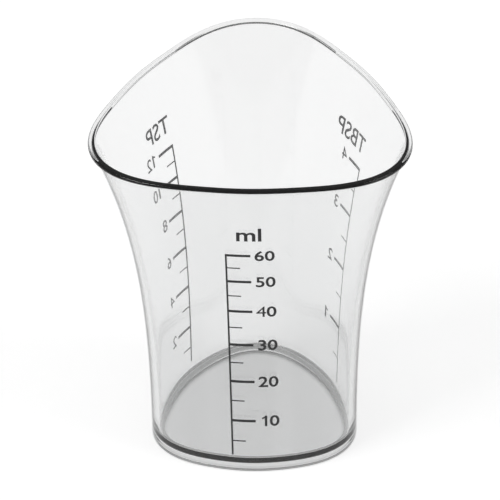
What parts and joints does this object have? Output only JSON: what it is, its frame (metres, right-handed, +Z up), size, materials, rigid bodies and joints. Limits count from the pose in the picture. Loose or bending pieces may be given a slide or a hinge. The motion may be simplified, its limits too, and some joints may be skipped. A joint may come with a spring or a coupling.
{
  "type": "measuring cup",
  "caption": "Small clear measuring cup with a flared rounded-triangle rim, pouring corners, a foot ring and printed millilitre, teaspoon and tablespoon scales.",
  "frame": {"origin": "the middle of the cup's bounding box, on the plane that its foot ring stands on; the cup's own axis passes 3.4 mm from it towards -Y", "axes": "+Z up along the cup's axis, from the foot to the rim; +Y towards one pouring corner, so the face with the millilitre scale looks towards -Y; +X to the right of someone who reads that scale"},
  "size_m": [0.0598, 0.058, 0.0705],
  "materials": {
    "clear_plastic": "clear, polished, with a faint neutral grey tint",
    "scale_ink": "black screen-printing ink, satin"
  },
  "bodies": {
    "root": {"cup_body": "clear_plastic", "ml_scale": "scale_ink", "tsp_scale": "scale_ink", "tbsp_scale": "scale_ink"}
  },
  "joints": []
}
